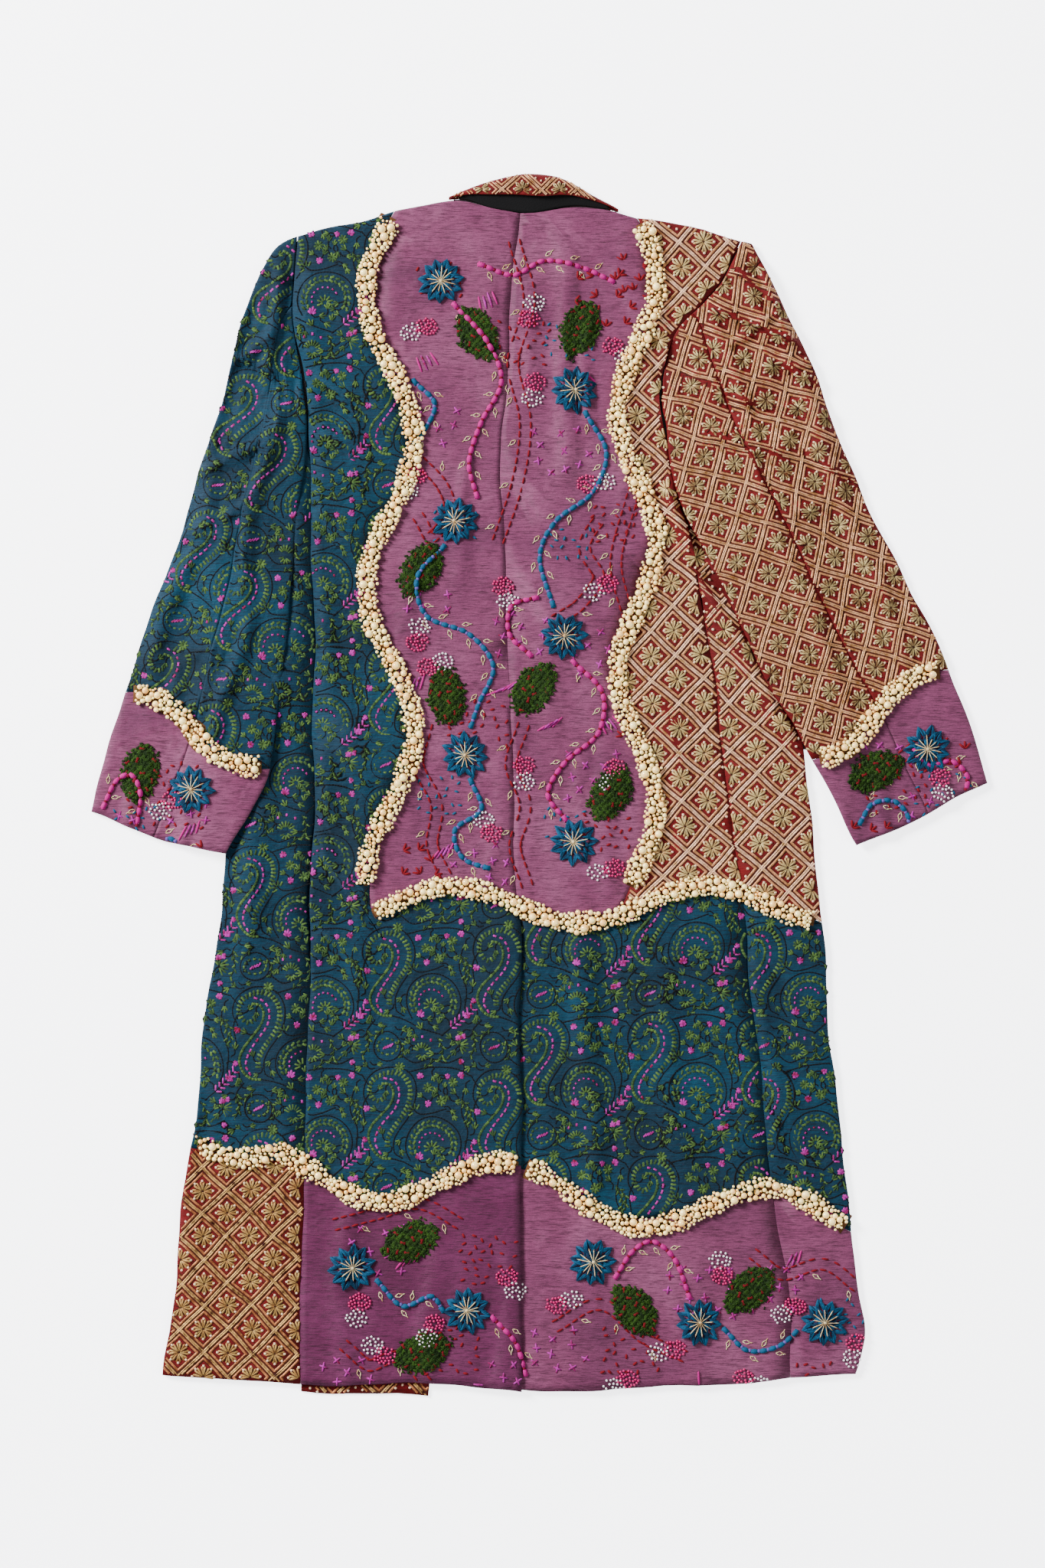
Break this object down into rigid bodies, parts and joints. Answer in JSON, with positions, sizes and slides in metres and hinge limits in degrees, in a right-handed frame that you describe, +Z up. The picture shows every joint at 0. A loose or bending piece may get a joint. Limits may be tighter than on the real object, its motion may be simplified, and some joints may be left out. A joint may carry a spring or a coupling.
{
  "type": "long embroidered coat, laid flat",
  "caption": "Long coat laid flat, back up: patchwork of patterned cloths with pearl bands, raised flowers and leaves, two sleeves, a turned collar and a back vent.",
  "frame": {"origin": "middle of the coat's outline, on the surface it lies on", "axes": "+Y from hem to collar, +X to the right seen from above, +Z up off the surface"},
  "size_m": [0.8912, 1.2129, 0.0237],
  "materials": {
    "paisley_cloth": "slubby wool and silk with fine paisley embroidery",
    "plum_silk": "slubby silk with a soft sheen",
    "lattice_cloth": "brocade with a raised metallic diamond lattice",
    "black_velvet": "matte black pile",
    "pearls": "glossy cream pearl beads, sewn on close together",
    "flower_thread": "satin stitched thread",
    "leaf_thread": "dense looped wool stitches"
  },
  "bodies": {
    "root": {"back_left": "plum_silk", "back_left_outer": "paisley_cloth", "back_right": "plum_silk", "back_right_outer": "lattice_cloth", "collar": "lattice_cloth", "cuff_left_inner": "plum_silk", "cuff_left_outer": "plum_silk", "cuff_right_inner": "plum_silk", "cuff_right_outer": "plum_silk", "flower_01": "flower_thread", "flower_02": "flower_thread", "flower_03": "flower_thread", "flower_04": "flower_thread", "flower_05": "flower_thread", "flower_06": "flower_thread", "flower_07": "flower_thread", "flower_08": "flower_thread", "flower_09": "flower_thread", "flower_10": "flower_thread", "flower_11": "flower_thread", "flower_12": "flower_thread", "flower_13": "flower_thread", "front_left": "lattice_cloth", "front_right": "paisley_cloth", "hem_left": "plum_silk", "hem_right": "plum_silk", "leaf_01": "leaf_thread", "leaf_02": "leaf_thread", "leaf_03": "leaf_thread", "leaf_04": "leaf_thread", "leaf_05": "leaf_thread", "leaf_06": "leaf_thread", "leaf_07": "leaf_thread", "leaf_08": "leaf_thread", "leaf_09": "leaf_thread", "leaf_10": "leaf_thread", "leaf_11": "leaf_thread", "leaf_12": "leaf_thread", "pearls_cuff_left": "pearls", "pearls_cuff_right": "pearls", "pearls_hem_left": "pearls", "pearls_hem_right": "pearls", "pearls_left": "pearls", "pearls_right": "pearls", "pearls_waist": "pearls", "side_left": "paisley_cloth", "side_left_hem": "lattice_cloth", "side_right": "lattice_cloth", "side_right_hem": "plum_silk", "side_right_skirt": "paisley_cloth", "skirt_left": "paisley_cloth", "skirt_right": "paisley_cloth", "sleeve_left_inner": "paisley_cloth", "sleeve_left_outer": "paisley_cloth", "sleeve_right_inner": "lattice_cloth", "sleeve_right_outer": "lattice_cloth", "under_collar": "black_velvet"}
  },
  "joints": []
}
